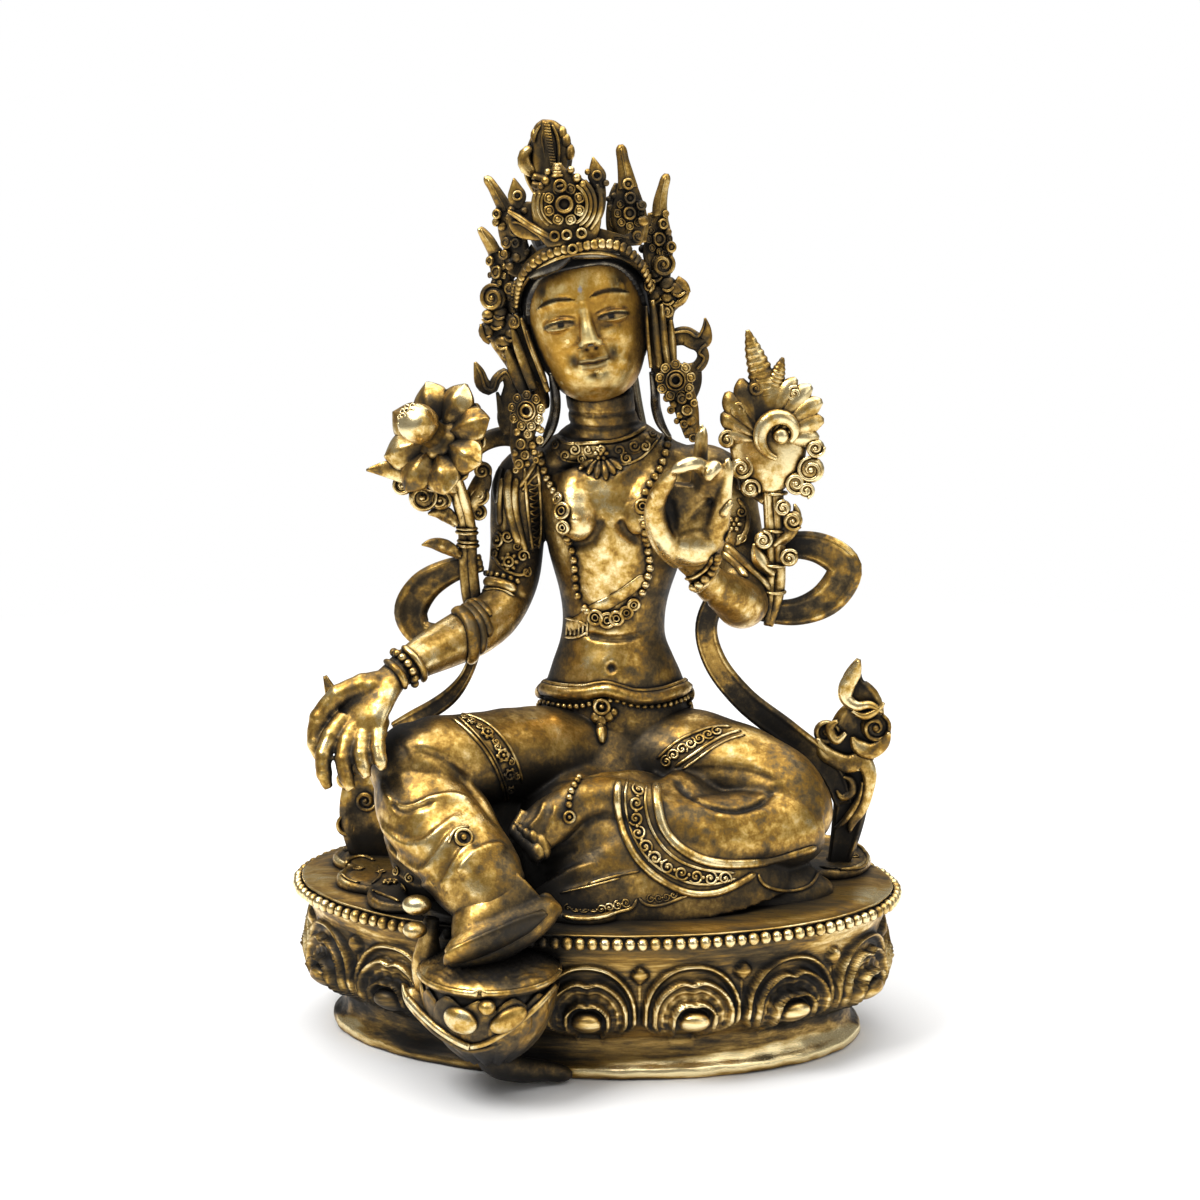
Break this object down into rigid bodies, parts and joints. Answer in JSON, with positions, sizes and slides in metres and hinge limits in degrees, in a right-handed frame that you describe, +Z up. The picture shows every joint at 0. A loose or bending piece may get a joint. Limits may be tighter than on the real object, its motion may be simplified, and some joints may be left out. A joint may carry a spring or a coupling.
{
  "type": "seated goddess figure on a lotus base",
  "caption": "Cast brass goddess seated on an oval lotus base, right foot forward on a small lotus, with crown, open lotus, half-open lotus and curling scarves.",
  "frame": {"origin": "middle of the base's flat underside, below the middle of the oval", "axes": "+Z up, +Y to the figure's back, +X to the figure's left, so the figure looks along -Y"},
  "size_m": [0.151, 0.1167, 0.2205],
  "materials": {
    "base_brass": "aged brass, olive brown to near black in the hollows, worn to gold on the petals, beads and foot edge",
    "figure_brass": "aged brass with worn gold high points, brown patina in the folds and carving, hair blackened"
  },
  "bodies": {
    "root": {"lotus_base": "base_brass", "tara_figure": "figure_brass"}
  },
  "joints": []
}
